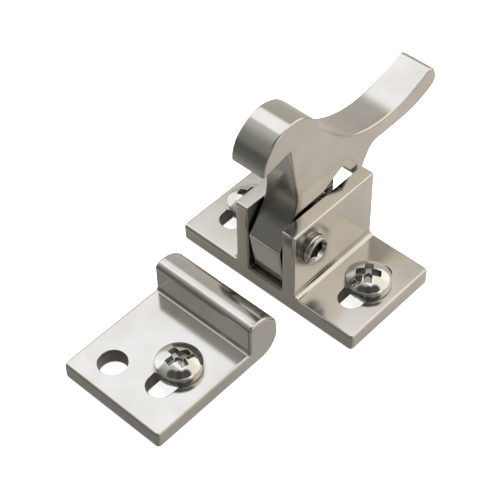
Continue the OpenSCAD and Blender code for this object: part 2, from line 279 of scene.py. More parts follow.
def tidy_mesh(mesh):
    """Merges doubles, turns the faces outwards and sets smooth shading."""
    work = bmesh.new()
    work.from_mesh(mesh)
    bmesh.ops.remove_doubles(work, verts=work.verts, dist=1e-7)
    bmesh.ops.recalc_face_normals(work, faces=work.faces)
    work.to_mesh(mesh)
    work.free()
    mesh.polygons.foreach_set("use_smooth", np.ones(len(mesh.polygons), bool))
    mesh.update()


def cut(piece, tools, operation="DIFFERENCE"):
    """Cuts the tools' shapes out of a piece, or keeps what they share with it, and removes the tools."""
    for tool in tools:
        step = piece.modifiers.new("cut", "BOOLEAN")
        step.operation = operation
        step.solver = "EXACT"
        step.object = tool
    graph = bpy.context.evaluated_depsgraph_get()
    mesh = bpy.data.meshes.new_from_object(piece.evaluated_get(graph))
    piece.modifiers.clear()
    piece.data = mesh
    mesh.name = piece.name
    for tool in tools:
        bpy.data.objects.remove(tool)
    tidy_mesh(mesh)
    if len(mesh.polygons) < 6:
        raise RuntimeError(f"{piece.name} is empty after its cut")


def sharp_turns(piece):
    """For each edge of a closed piece, whether its two faces turn sharply, and the edge's middle."""
    mesh = piece.data
    loops = np.zeros(len(mesh.loops), np.int32)
    mesh.loops.foreach_get("edge_index", loops)
    sizes = np.zeros(len(mesh.polygons), np.int32)
    mesh.polygons.foreach_get("loop_total", sizes)
    normals = np.zeros(len(mesh.polygons) * 3, np.float32)
    mesh.polygons.foreach_get("normal", normals)
    owners = np.repeat(np.arange(len(sizes)), sizes)[np.argsort(loops, kind="stable")]
    if len(owners) != 2 * len(mesh.edges):
        raise RuntimeError(f"{piece.name} isn't closed")
    pair = normals.reshape(-1, 3)[owners].reshape(-1, 2, 3)
    turn = np.arccos(np.clip(np.sum(pair[:, 0] * pair[:, 1], 1), -1, 1))
    ends = np.zeros(len(mesh.edges) * 2, np.int32)
    mesh.edges.foreach_get("vertices", ends)
    places = np.zeros(len(mesh.vertices) * 3, np.float32)
    mesh.vertices.foreach_get("co", places)
    middle = places.reshape(-1, 3)[ends.reshape(-1, 2)].mean(1) / MM
    return turn > EDGE_TURN, middle


def crisp_edges(piece):
    """Keeps the edges of a piece that turn sharply crisp in its smooth shading."""
    sharp, _ = sharp_turns(piece)
    attributes = piece.data.attributes
    marks = attributes.get("sharp_edge") or attributes.new("sharp_edge", "BOOLEAN", "EDGE")
    marks.data.foreach_set("value", sharp)


def round_edges(piece, width, share):
    """Rounds the edges of a piece that turn sharply, each by the share of the width that belongs to its
    middle, and keeps flat faces flat."""
    sharp, middle = sharp_turns(piece)
    marks = piece.data.attributes.new("bevel_weight_edge", "FLOAT", "EDGE")
    marks.data.foreach_set("value", (sharp * share(middle)).astype(np.float32))
    bevel = piece.modifiers.new("rounded edges", "BEVEL")
    bevel.width = width
    bevel.segments = 3
    bevel.limit_method = "WEIGHT"
    bevel.use_clamp_overlap = False
    bevel.loop_slide = False
    flats = piece.modifiers.new("flat faces", "WEIGHTED_NORMAL")
    flats.mode = "FACE_AREA"
    flats.weight = 50
    flats.keep_sharp = False


def mark_walls(piece, shade_of_faces):
    """Marks how much painted shade the faces of a piece get, worked out from their middles and normals."""
    faces = piece.data.polygons
    middle = np.zeros(len(faces) * 3, np.float32)
    faces.foreach_get("center", middle)
    normal = np.zeros(len(faces) * 3, np.float32)
    faces.foreach_get("normal", normal)
    normal = normal.reshape(-1, 3)
    shade_share = shade_of_faces(middle.reshape(-1, 3) / MM, normal)
    marks = piece.data.attributes.new(SHADED_WALL, "FLOAT", "FACE")
    marks.data.foreach_set("value", shade_share.astype(np.float32))


def in_spring_seat(middle):
    """Whether points lie in the hidden seat of the spring."""
    return np.hypot(middle[:, 0], middle[:, 1] - SPRING_Y) < SPRING_SEAT_R + 0.02


def at_slot(x, y, middle_x, ends, r):
    """Whether points lie on a slot along the part, given by its middle, its ends' centres and its radius."""
    reach = r + NEAR
    return (np.abs(x - middle_x) < reach) & (y > ends[0] - reach) & (y < ends[1] + reach)


def at_base_slots(middle):
    """Whether points lie on the base plate's slots."""
    return at_slot(np.abs(middle[:, 0]), middle[:, 1], BASE_SLOT_X, BASE_SLOT_ENDS, BASE_SLOT_R)


def at_strike_holes(middle):
    """Whether points lie on the strike's round hole or slot."""
    x, y = middle[:, 0] - STRIKE_X, middle[:, 1] - STRIKE_FRONT
    hole = np.hypot(x - STRIKE_HOLE[0], y - STRIKE_HOLE[1]) < STRIKE_HOLE_R + NEAR
    return hole | at_slot(x, y, STRIKE_SLOT_X, STRIKE_SLOT_ENDS, STRIKE_SLOT_R)


def bracket_wall_shade(middle, normal):
    """The slots' walls and the floor between the ears get full painted shade, and the inner sides of the ears
    part of it.
    """
    upright = np.abs(normal[:, 2]) < 0.5
    between = np.abs(middle[:, 0]) < EAR_INNER + 0.05
    floor = between & (normal[:, 2] > 0.5) & (middle[:, 2] < PLATE_T + 0.5)
    inner = between & (np.abs(normal[:, 0]) > 0.5)
    return np.select([(at_base_slots(middle) & upright) | floor, inner], [1.0, EAR_SHADE], 0.0)


def strike_wall_shade(middle, normal):
    """The walls of the strike's hole and slot get painted shade."""
    return (at_strike_holes(middle) & (np.abs(normal[:, 2]) < 0.5)).astype(float)


def recess_wall_shade(middle, normal):
    """A screw's pressed recess gets painted shade: it lies near the axis and inside the sphere of the head's
    dome.
    """
    axes = np.array([[x, y] for x, y, _ in SCREWS.values()])
    off_axis = np.linalg.norm(middle[:, None, :2] - axes, axis=2).min(1)
    height = middle[:, 2] - PLATE_T
    inside = np.hypot(off_axis, height - HEAD_H + DOME_R) < DOME_R - 0.03
    return RECESS_SHADE * (inside & (off_axis < 2.8) & (height > 1))


def lever_share(middle):
    """The lever's edges are rounded alike, but for the spring's seat."""
    return np.where(in_spring_seat(middle), 0.0, 1.0)


def bracket_share(middle):
    """The bracket's edges are rounded alike, but for the spring's seat, the ears' tops, which get less, and
    the slots' upper rims, the pivot holes' rims and the ears' inner top edges, which are only broken."""
    tops = middle[:, 2] > EAR_TOP - 0.1
    inner = tops & (np.abs(middle[:, 0]) < EAR_INNER + 0.05)
    rims = at_base_slots(middle) & (middle[:, 2] > PLATE_T / 2)
    pivot = np.hypot(middle[:, 1] - PIVOT[0], middle[:, 2] - PIVOT[1]) < PIVOT_R + 0.2
    return np.select([in_spring_seat(middle), rims | pivot | inner, tops], [0.0, RIM_SHARE, EAR_SHARE], 1.0)


def strike_share(middle):
    """The strike's edges are rounded alike, but the upper rims of its holes are only broken."""
    rims = at_strike_holes(middle) & (middle[:, 2] > PLATE_T / 2)
    return np.where(rims, RIM_SHARE, 1.0)


def dress(piece, material, body, slot, *nodes):
    """Gives a piece its finish and body, and lets it stand for its solids."""
    piece.data.materials.clear()
    piece.data.materials.append(material)
    if body:
        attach(piece, body)
    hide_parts(*nodes)


class NodeBench:
    """Adds nodes to a material's or the world's tree."""

    def __init__(self, tree):
        self.tree = tree
        tree.nodes.clear()

    def add(self, kind, settings=None, **sockets):
        """A node with its settings, whose sockets take values or other nodes' outputs."""
        made = self.tree.nodes.new(kind)
        for key, value in (settings or {}).items():
            setattr(made, key, value)
        for key, value in sockets.items():
            place = made.inputs[int(key[1:]) if key[1:].isdigit() else key.replace("_", " ")]
            if isinstance(value, bpy.types.NodeSocket):
                self.tree.links.new(value, place)
            else:
                place.default_value = value
        return made


def blended(bench, factor, low, high):
    """Colour between two others, by a factor."""
    return bench.add("ShaderNodeMix", {"data_type": "RGBA"}, Factor=factor, _6=low, _7=high).outputs[2]


# Shares of a metal's colour for the painted highlight at worn edges, and for painted shade in crevices, in
# the shaded hollow and on shaded walls
WORN_HIGHLIGHT_SHARE = 1.15
CREVICE_SHADE_SHARE = 0.3
HOLLOW_SHADE_SHARE = 0.55
WALL_SHADE_SHARE = 0.4
# Roughness of the shaded hollow and of the shaded walls
HOLLOW_ROUGH = 0.3
SHADED_WALL_ROUGH = 0.45
WORN_HIGHLIGHT_R = 0.4 * MM
# Reach of the worn edges, which are smoother and get a painted highlight
RELIEF_H = 0.02 * MM
GRAIN_SCALE = 6500.0


def scaled(colour, share=1.0):
    """A colour times a share, with the fourth value that a socket needs."""
    return (*(min(1.0, share * c) for c in colour), 1)


def metal(name, tone, shade, rough, streak, cloud_size, bump, painted_shade_reach, soft_edge=None, shaded_hollow=None):
    """Plated metal on Object coordinates: slow clouds in tone and gloss, fine polishing streaks whose length
    follows the streak scale, and a faint grain; worn edges are smoother and paler, a painted highlight, and
    walls marked as shaded and corners narrower than the painted shade reach get painted shade. A soft edge
    rounds the shading of edges that the mesh leaves crisp, and a shaded hollow, an ellipsoid, gets painted
    shade and more roughness."""
    made = bpy.data.materials.new(name)
    made.use_nodes = True
    bench = NodeBench(made.node_tree)
    place = bench.add("ShaderNodeTexCoord").outputs["Object"]
    cloud = bench.add("ShaderNodeTexNoise", Vector=place, Scale=1 / cloud_size, Detail=4.0,
                      Roughness=0.55).outputs["Fac"]
    stretched = bench.add("ShaderNodeMapping", Vector=place, Scale=streak).outputs["Vector"]
    lines = bench.add("ShaderNodeTexNoise", Vector=stretched, Scale=1.0, Detail=3.0,
                      Roughness=0.6).outputs["Fac"]
    grain = bench.add("ShaderNodeTexNoise", Vector=place, Scale=GRAIN_SCALE, Detail=2.0).outputs["Fac"]
    # Where the rounded normal departs from the true one, an edge is near
    soft = bench.add("ShaderNodeBevel", {"samples": 4}, Radius=WORN_HIGHLIGHT_R).outputs["Normal"]
    true = bench.add("ShaderNodeNewGeometry").outputs["Normal"]
    facing = bench.add("ShaderNodeVectorMath", {"operation": "DOT_PRODUCT"}, _0=soft,
                       _1=true).outputs["Value"]
    worn_highlight = bench.add("ShaderNodeMapRange", Value=facing, From_Min=0.99, From_Max=0.85).outputs["Result"]
    # Painted shade: corners and gaps narrower than the reach, found by ambient occlusion, darken towards the
    # crevice shade
    open_air = bench.add("ShaderNodeAmbientOcclusion", {"samples": 8}, Distance=painted_shade_reach).outputs["AO"]
    clear = bench.add("ShaderNodeMapRange", Value=open_air, From_Min=0.2, From_Max=0.75).outputs["Result"]
    patch = bench.add("ShaderNodeMapRange", Value=cloud, From_Min=0.38, From_Max=0.6).outputs["Result"]
    tint = blended(bench, patch, scaled(shade), scaled(tone))
    # Worn edges are paler: a painted highlight where the edges catch the light
    highlit = blended(bench, worn_highlight, tint, scaled(tone, WORN_HIGHLIGHT_SHARE))
    colour = blended(bench, clear, scaled(shade, CREVICE_SHADE_SHARE), highlit)
    mixed = bench.add("ShaderNodeMix", Factor=0.45, _2=cloud, _3=lines).outputs[0]
    gloss = bench.add("ShaderNodeMapRange", Value=mixed, From_Min=0.3, From_Max=0.7, To_Min=rough[0],
                      To_Max=rough[1]).outputs["Result"]
    smooth = bench.add("ShaderNodeMapRange", Value=worn_highlight, To_Min=1.0, To_Max=0.75).outputs["Result"]
    rough_all = bench.add("ShaderNodeMath", {"operation": "MULTIPLY"}, _0=gloss, _1=smooth).outputs[0]
    relief = bench.add("ShaderNodeMath", {"operation": "ADD"}, _0=lines, _1=grain).outputs[0]
    raised = bench.add("ShaderNodeBump", Strength=bump, Distance=RELIEF_H, Height=relief)
    if soft_edge:
        rounded = bench.add("ShaderNodeBevel", {"samples": 6}, Radius=soft_edge).outputs["Normal"]
        bench.tree.links.new(rounded, raised.inputs["Normal"])
    # Painted shade: the colour darkens inside the shaded hollow, which is also rougher
    if shaded_hollow:
        middle, half = (tuple(MM * c for c in v) for v in shaded_hollow)
        off = bench.add("ShaderNodeVectorMath", {"operation": "SUBTRACT"}, _0=place, _1=middle).outputs[0]
        off = bench.add("ShaderNodeVectorMath", {"operation": "DIVIDE"}, _0=off, _1=half).outputs[0]
        reach = bench.add("ShaderNodeVectorMath", {"operation": "LENGTH"}, _0=off).outputs["Value"]
        shade_share = bench.add("ShaderNodeMapRange", {"interpolation_type": "SMOOTHSTEP"}, Value=reach, From_Min=1.0,
                        From_Max=0.55).outputs["Result"]
        colour = blended(bench, shade_share, colour, scaled(shade, HOLLOW_SHADE_SHARE))
        rough_all = bench.add("ShaderNodeMix", Factor=shade_share, _2=rough_all, _3=HOLLOW_ROUGH).outputs[0]
    # Painted shade: faces with the shaded wall mark darken towards the wall shade and get rougher
    wall = bench.add("ShaderNodeAttribute", {"attribute_name": SHADED_WALL}).outputs["Fac"]
    colour = blended(bench, wall, colour, scaled(shade, WALL_SHADE_SHARE))
    rough_all = bench.add("ShaderNodeMix", Factor=wall, _2=rough_all, _3=SHADED_WALL_ROUGH).outputs[0]
    shader = bench.add("ShaderNodeBsdfPrincipled", Metallic=1.0, Base_Color=colour, Roughness=rough_all,
                       Normal=raised.outputs["Normal"])
    bench.add("ShaderNodeOutputMaterial", Surface=shader.outputs[0])
    return made


def satin_nickel(name, streak, rough, painted_shade_reach, shaded_hollow=None):
    """Nickel plate of the castings, with the wheel's streaks along one way."""
    finish = bpy.context.scene.catch_finish
    return metal(name, tuple(finish.nickel), tuple(finish.nickel_shade), rough, streak, 9 * MM, 0.04, painted_shade_reach,
                 shaded_hollow=shaded_hollow)


# The lever's hollow, which gets painted shade and more roughness: its middle and its half sizes, in
# millimetres
HOLLOW = ((0, -7.4, 20.0), (6.0, 3.0, 6.5))
LEVER_HOOK = np.array([-2.5, 21.4])
LEVER_HOOK_SLOPE = math.radians(12)
LEVER_NOSE = np.array([-1.95, 20.4])
LEVER_NOSE_R = 6.7
LEVER_SADDLE = np.array([21.8, 12.1])
LEVER_CURL_R = 27.0
LEVER_TIP_Y = 33.4
LEVER_TIP_R = 2.1
LEVER_UNDER = np.array([25.6, 8.6])
LEVER_FOOT_Z = -8.75


def direction(angle):
    return np.array([math.cos(angle), math.sin(angle)])


def lever_outline():
    """Lever's side view from the pivot: hollow front, hub, notch, tooth and handle from rounded corners; the
    hollow top is an arc tangent to the nose circle and level at its lowest point, the handle's end curls up
    tangent to it and to the round tip, and the nose is the circle from that arc round to the hook."""
    nose, r = LEVER_NOSE, LEVER_NOSE_R
    saddle, under, tip_r = LEVER_SADDLE, LEVER_UNDER, LEVER_TIP_R
    gap = saddle - nose
    saddle_r = (gap @ gap - r * r) / (2 * (r - gap[1]))
    saddle_turn = math.asin(gap[0] / (saddle_r + r))
    joint = nose + r * unit(saddle + [0, saddle_r] - nose)
    curl_turn = math.asin((LEVER_TIP_Y - saddle[0]) / (LEVER_CURL_R + tip_r))
    tip = np.array([LEVER_TIP_Y, saddle[1] + LEVER_CURL_R - (LEVER_CURL_R + tip_r) * math.cos(curl_turn)])
    rise = tip - under
    belly_r = (rise @ rise - tip_r ** 2) / (2 * (rise[1] - tip_r))
    belly_turn = math.asin(rise[0] / (belly_r - tip_r))
    middle = (belly_turn + curl_turn) / 2
    ends = [belly_turn - math.pi / 2, middle, curl_turn + math.pi / 2]
    tips = [tip + tip_r / math.cos((b - a) / 2) * direction((a + b) / 2) for a, b in zip(ends, ends[1:])]
    corners = [
        [*LEVER_HOOK, 0],
        [-0.2, 7.3, 9],
        [-5.1, 0.1, 1.2],
        [-3.7, LEVER_FOOT_Z, 1.3],
        [4.7, LEVER_FOOT_Z, 4.7],
        [4.7, 5.5, 0.6],
        [10.9, 8.6, 0.6],
        [15.2, 2.8, 0.7],
        [18.5, 8.6, 2.5],
        [under[0] + belly_r * math.tan(belly_turn / 2), under[1], 0.96 * belly_r],
        [*tips[0], tip_r],
        [*tips[1], 1.2],
        [saddle[0] + LEVER_CURL_R * math.tan(curl_turn / 2), saddle[1], LEVER_CURL_R],
        [saddle[0] - saddle_r * math.tan(saddle_turn / 2), saddle[1], saddle_r],
        [*joint, 0],
        [*nose, 0],
    ]
    outline = rounded_outline(corners)
    reach = -direction(LEVER_HOOK_SLOPE)
    start = LEVER_HOOK - nose
    length = -start @ reach + math.sqrt((start @ reach) ** 2 - start @ start + r * r)
    hook_tip = start + length * reach
    first = math.atan2(*(joint - nose)[::-1])
    last = math.atan2(*hook_tip[::-1]) % (2 * math.pi)
    # The last step is longer, so that the hook's edge can be rounded
    steps = math.ceil((last - first) / ARC_STEP)
    angle = np.append(np.linspace(first, last - 2 * ARC_STEP, steps)[1:], last)
    round_nose = nose + r * np.stack([np.cos(angle), np.sin(angle)], 1)
    return np.concatenate([outline[:-1], round_nose]) + PIVOT


class ELBOW_OT_lever(bpy.types.Operator):
    """Sprung lever with its rounded nose, hook, tooth and curled handle"""

    bl_idname = "elbow.lever"
    bl_label = "Lever"

    def execute(self, context):
        piece = make_object("lever_piece", *carried(lever_outline(), *LEVER_SIDES, across))
        bore = make_object("bore", *carried(circle(PIVOT, PIVOT_R + 0.06), LEVER_SIDES[0] - OVER,
                                            LEVER_SIDES[1] + OVER, across))
        seat = make_object("seat", *carried(circle((0, SPRING_Y), SPRING_SEAT_R), PIVOT[1] + 2.8,
                                            SPRING_Z[1], upward))
        cut(piece, [bore, seat])
        round_edges(piece, context.scene.catch_sizes.lever_edge, lever_share)
        plate = satin_nickel("satin nickel, lever", (5200, 420, 420), (0.11, 0.18), 0.25 * MM, HOLLOW)
        dress(piece, plate, "lever", "nickel_plate", "lever")
        return {"FINISHED"}


class ELBOW_OT_bracket(bpy.types.Operator):
    """Base plate with two upright ears, two slots and the pivot holes"""

    bl_idname = "elbow.bracket"
    bl_label = "Bracket"

    def execute(self, context):
        half = [[BASE_HALF + OVER, -OVER, 0], [BASE_HALF + OVER, PLATE_T, 0], [EAR_OUTER, PLATE_T, 1],
                [EAR_OUTER, EAR_TOP, 0], [EAR_INNER, EAR_TOP, 0], [EAR_INNER, PLATE_T, 0.4]]
        mirrored = [[-x, z, r] for x, z, r in half[::-1]]
        front = rounded_outline(half + mirrored)
        piece = make_object("bracket", *carried(front, BASE_FRONT - OVER, BASE_BACK + OVER, along))
        plan = rounded_outline([[-BASE_HALF, BASE_FRONT, PLAN_R], [BASE_HALF, BASE_FRONT, PLAN_R],
                                [BASE_HALF, BASE_BACK, PLAN_R], [-BASE_HALF, BASE_BACK, PLAN_R]])
        cut(piece, [make_object("plan", *carried(plan, 0, EAR_TOP + OVER, upward))], "INTERSECT")
        tools = [make_object("slot", *carried(slot_outline(x, *BASE_SLOT_ENDS, BASE_SLOT_R), -OVER,
                                              PLATE_T + OVER, upward))
                 for x in (-BASE_SLOT_X, BASE_SLOT_X)]
        tools.append(make_object("pivot holes", *carried(circle(PIVOT, PIVOT_R + 0.02), -EAR_OUTER - OVER,
                                                         EAR_OUTER + OVER, across)))
        tools.append(make_object("seat", *carried(circle((0, SPRING_Y), SPRING_SEAT_R), SPRING_Z[0],
                                                  PLATE_T + OVER, upward)))
        cut(piece, tools)
        mark_walls(piece, bracket_wall_shade)
        round_edges(piece, context.scene.catch_sizes.bracket_edge, bracket_share)
        plate = satin_nickel("satin nickel, bracket", (900, 900, 900), (0.12, 0.19), 0.35 * MM)
        dress(piece, plate, "catch", "nickel_plate", "catch_base")
        return {"FINISHED"}


class ELBOW_OT_strike(bpy.types.Operator):
    """Strike with the rounded bead that the lever's nose hooks over"""

    bl_idname = "elbow.strike"
    bl_label = "Strike"

    def execute(self, context):
        side = rounded_outline([[-OVER, 0, 0], [STRIKE_DEPTH, 0, 3.9], [STRIKE_DEPTH, BEAD_H, 4.9],
                                [BEAD_WALL, BEAD_H, 1.2], [BEAD_WALL, PLATE_T, 0.5], [-OVER, PLATE_T, 0]])
        side = side + [STRIKE_FRONT, 0]
        low, high = STRIKE_X - STRIKE_HALF, STRIKE_X + STRIKE_HALF
        piece = make_object("strike", *carried(side, low - OVER, high + OVER, across))
        back = STRIKE_FRONT + STRIKE_DEPTH + OVER
        plan = rounded_outline([[low, STRIKE_FRONT, PLAN_R], [high, STRIKE_FRONT, PLAN_R], [high, back, 0],
                                [low, back, 0]])
        cut(piece, [make_object("plan", *carried(plan, -OVER, BEAD_H + OVER, upward))], "INTERSECT")
        hole = circle((STRIKE_X + STRIKE_HOLE[0], STRIKE_FRONT + STRIKE_HOLE[1]), STRIKE_HOLE_R)
        slot = slot_outline(STRIKE_X + STRIKE_SLOT_X, STRIKE_FRONT + STRIKE_SLOT_ENDS[0],
                            STRIKE_FRONT + STRIKE_SLOT_ENDS[1], STRIKE_SLOT_R)
        cut(piece, [make_object("hole", *carried(hole, -OVER, PLATE_T + OVER, upward)),
                    make_object("slot", *carried(slot, -OVER, PLATE_T + OVER, upward))])
        mark_walls(piece, strike_wall_shade)
        round_edges(piece, context.scene.catch_sizes.strike_edge, strike_share)
        plate = satin_nickel("satin nickel, strike", (900, 900, 900), (0.13, 0.2), 1.6 * MM)
        dress(piece, plate, "strike", "nickel_plate", "strike_plate")
        return {"FINISHED"}


def screw_surface(pitch, depth):
    """Pan head, plain neck and pointed thread as one turned surface. The head's dome is a sphere cap; the
    thread's radius is its core plus a ridge that climbs one pitch in each turn and fades into the point."""
    neck_r, thread_r = 1.8, 2.0
    thread_top, point, point_length = -3.4, -16.0, 3.0
    run_in, ridge_half = 1.2, 0.3
    tilt = np.linspace(0.04, math.asin(HEAD_R / DOME_R) - 0.05, 26)
    dome = np.stack([DOME_R * np.sin(tilt), HEAD_H - DOME_R + DOME_R * np.cos(tilt)], 1)
    rim = np.array([[HEAD_R - 0.07, 1.63], [HEAD_R - 0.02, 1.53], [HEAD_R, 1.4], [HEAD_R, 0.8],
                    [HEAD_R, 0.25], [HEAD_R - 0.05, 0.1], [HEAD_R - 0.15, 0.02], [HEAD_R - 0.3, 0.0],
                    [2.8, 0.0], [neck_r + 0.15, 0.0], [neck_r + 0.03, -0.06], [neck_r, -0.2]])
    neck = np.array([[neck_r, -1.5], [neck_r, -3.0]])
    smooth = np.concatenate([dome, rim, neck])
    count = 96
    angle = np.arange(count) / count
    z = np.linspace(thread_top, point + 0.1, 150)
    taper = np.clip((z - point) / point_length, 0, 1)[:, None]
    phase = (z[:, None] / pitch + angle) % 1.0
    ridge = np.clip(1 - np.abs(phase - 0.5) / ridge_half, 0, 1)
    grown = np.clip((thread_top - z) / run_in, 0, 1)[:, None]
    thread = (thread_r - depth) * taper + depth * ridge * grown * np.clip(3 * taper, 0, 1)
    thread = np.minimum(thread, thread_r)
    radius = np.concatenate([np.repeat(smooth[:, :1], count, 1), thread])
    height = np.concatenate([smooth[:, 1], z])
    return turned(radius, height, HEAD_H, point)


def taper_bar(length, width, top, bottom, turn):
    """A bar that narrows downwards: half sizes run linearly from the top pair to the bottom pair."""
    corner = np.array([[-1, -1], [1, -1], [1, 1], [-1, 1]]) / 2
    layers = [upward(corner * [long, wide] @ np.array([[math.cos(turn), math.sin(turn)],
                                                       [-math.sin(turn), math.cos(turn)]]), z)
              for long, wide, z in zip(length, width, (bottom, top))]
    ring = np.arange(4)
    ahead = np.roll(ring, -1)
    sides = np.stack([ring, ahead, ahead + 4, ring + 4], 1).tolist()
    return np.concatenate(layers), sides + [[3, 2, 1, 0], [4, 5, 6, 7]]


class ELBOW_OT_screws(bpy.types.Operator):
    """Three pan-head screws with a pressed cross recess and a wood thread"""

    bl_idname = "elbow.screws"
    bl_label = "Screws"

    def execute(self, context):
        sizes = context.scene.catch_sizes
        finish = context.scene.catch_finish
        plate = metal("bright plate, screws", tuple(finish.bright), tuple(finish.bright_shade), (0.04, 0.09),
                      (1500, 1500, 1500), 4 * MM, 0.03, 1.1 * MM, 0.14 * MM)
        turns = {"base_screw_left": sizes.left_turn, "base_screw_right": sizes.right_turn,
                 "strike_screw": sizes.strike_turn}
        points, faces = screw_surface(sizes.thread_pitch / MM, sizes.thread_depth / MM)
        top = HEAD_H + 0.4
        for node, (x, y, body) in SCREWS.items():
            place = np.array([x, y, PLATE_T])
            piece = make_object(node + "_piece", points + place, faces)
            bars = [taper_bar((3.5, 5.1), (1.0, 1.7), top, 1.75, turns[node] + quarter)
                    for quarter in (0, math.pi / 2)]
            bars.append(taper_bar((0.9, 2.6), (0.9, 2.6), top, 1.2, turns[node] + math.pi / 4))
            for bar_points, bar_faces in bars:
                cut(piece, [make_object("recess", bar_points + place, bar_faces)])
            mark_walls(piece, recess_wall_shade)
            crisp_edges(piece)
            dress(piece, plate, body, "bright_screw", node)
        return {"FINISHED"}


class ELBOW_OT_pivot(bpy.types.Operator):
    """Pivot screw across the ears, with a hexagon socket in its right end"""

    bl_idname = "elbow.pivot"
    bl_label = "Pivot screw"

    def execute(self, context):
        finish = context.scene.catch_finish
        start, end, r = -EAR_OUTER, PIVOT_END, PIVOT_R
        profile = np.array([[1.6, end], [r - 0.34, end], [r - 0.2, end - 0.04], [r - 0.09, end - 0.1],
                            [r - 0.02, end - 0.2], [r, end - 0.32], [r, end - 0.5], [r - 0.16, end - 0.62],
                            [r - 0.16, end - 0.74], [r, end - 0.9], [r, end - 1.1], [r, 6.0], [r, 0.0],
                            [r, start + 0.5], [r - 0.01, start + 0.28], [r - 0.08, start + 0.12],
                            [r - 0.2, start + 0.04], [r - 0.4, start], [1.4, start]])
        radius = np.repeat(profile[:, :1], 96, 1)
        points, faces = turned(radius, profile[:, 1], end, start)
        points = np.stack([points[:, 2], points[:, 0] + PIVOT[0], points[:, 1] + PIVOT[1]], 1)
        piece = make_object("pivot_screw_piece", points, faces)
        socket = circle(PIVOT, 1.5 / math.cos(math.radians(30)), 6, math.radians(30))
        cut(piece, [make_object("socket", *carried(socket, 4.9, end + OVER, across))])
        mouth = np.array([[2.4, end + 0.3], [1.2, end - 0.9]])
        cone, sides = turned(np.repeat(mouth[:, :1], 96, 1), mouth[:, 1], *mouth[:, 1])
        cone = np.stack([cone[:, 2], cone[:, 0] + PIVOT[0], cone[:, 1] + PIVOT[1]], 1)
        cut(piece, [make_object("mouth", cone, sides)])
        crisp_edges(piece)
        steel = metal("pivot steel", tuple(finish.pivot), tuple(finish.pivot_shade), (0.12, 0.2),
                      (400, 3000, 3000), 3 * MM, 0.06, 1.3 * MM, 0.12 * MM)
        dress(piece, steel, "catch", "pivot_steel", "pivot_screw")
        return {"FINISHED"}


class ELBOW_OT_spring(bpy.types.Operator):
    """Coil spring between the base plate and the lever"""

    bl_idname = "elbow.spring"
    bl_label = "Return spring"

    def execute(self, context):
        finish = context.scene.catch_finish
        points, faces = spring_tube()
        piece = make_object("return_spring_piece", points, faces)
        wire = metal("spring steel", tuple(finish.spring), tuple(finish.spring_shade), (0.22, 0.38),
                     (900, 900, 900), 3 * MM, 0.08, 0.6 * MM)
        dress(piece, wire, None, "spring_steel", "return_spring")
        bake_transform(piece, "catch", "lever", start=(0, SPRING_Y * MM, PLATE_T * MM),
                 end=(0, SPRING_Y * MM, SPRING_Z[1] * MM))
        return {"FINISHED"}


def spring_tube():
    """Round wire carried along a coil: the wire's centre climbs one wire diameter in each end turn and
    evenly in the open turns between; P = coil(t) + wire radius (cos b outwards, sin b up)."""
    mean_r, wire_r, open_turns = 1.95, 0.35, 12
    turns = open_turns + 2
    low, high = SPRING_Z[0] + 0.02 + wire_r, SPRING_Z[1] - 0.02 - wire_r
    steps, sides = 32, 12
    t = np.arange(turns * steps + 1) / steps
    climb = np.interp(t, [0, 1, turns - 1, turns], [low, low + 2 * wire_r, high - 2 * wire_r, high])
    angle = 2 * math.pi * t[:, None]
    b = 2 * math.pi * np.arange(sides) / sides
    r = mean_r + wire_r * np.cos(b)
    points = np.stack([r * np.cos(angle), SPRING_Y + r * np.sin(angle),
                       climb[:, None] + wire_r * np.sin(b) + 0 * angle], 2).reshape(-1, 3)
    ring = np.arange(sides)
    ahead = np.roll(ring, -1)
    row = np.arange(len(t) - 1)[:, None] * sides
    quads = np.stack([row + ring, row + ahead, row + sides + ahead, row + sides + ring], 2).reshape(-1, 4)
    last = (len(t) - 1) * sides
    return points, quads.tolist() + [ring[::-1].tolist(), (last + ring).tolist()]


# The photograph's viewpoint, in millimetres and unit directions
EYE = (110.148, -131.224, 192.330)
VIEW_RIGHT = (0.73781, 0.67486, -0.01367)
VIEW_UP = (-0.49526, 0.55501, 0.66834)
VIEW_BACK = (0.45863, -0.48634, 0.74373)
LENS = 105.885

# The studio as strips that run across the part: angle up from the back towards the front, in degrees, and
# brightness with its tint. A white strip hangs overhead, the front is dark and the back is grey.
BROWN = (1.0, 0.93, 0.81)
WARM = (1.0, 0.92, 0.84)
MILD = (1.0, 0.965, 0.9)
CREAM = (1.0, 0.93, 0.84)
PLAIN = (1.0, 1.0, 0.94)
WHITE = (1.0, 1.01, 1.05)
STUDIO_STRIPS = (
    (-180, 0.13, PLAIN),
    (-160, 0.18, PLAIN),
    (-141, 0.31, PLAIN),
    (-127, 0.26, BROWN),
    (-120, 0.26, BROWN),
    (-114, 0.235, MILD),
    (-105, 0.35, MILD),
    (-95, 0.38, MILD),
    (-75, 0.44, MILD),
    (-63, 0.49, MILD),
    (-57, 0.53, MILD),
    (-53, 0.74, WARM),
    (-48, 0.80, WARM),
    (-40, 0.75, WARM),
    (0, 0.64, WARM),
    (45, 0.59, MILD),
    (51.5, 0.55, CREAM),
    (53.5, 0.62, CREAM),
    (56, 1.02, CREAM),
    (58.5, 1.42, WHITE),
    (94, 1.42, WHITE),
    (98.5, 0.70, PLAIN),
    (111, 0.66, PLAIN),
    (123, 0.47, PLAIN),
    (136, 0.32, PLAIN),
    (159, 0.25, PLAIN),
    (171, 0.14, PLAIN),
    (180, 0.13, PLAIN),
)
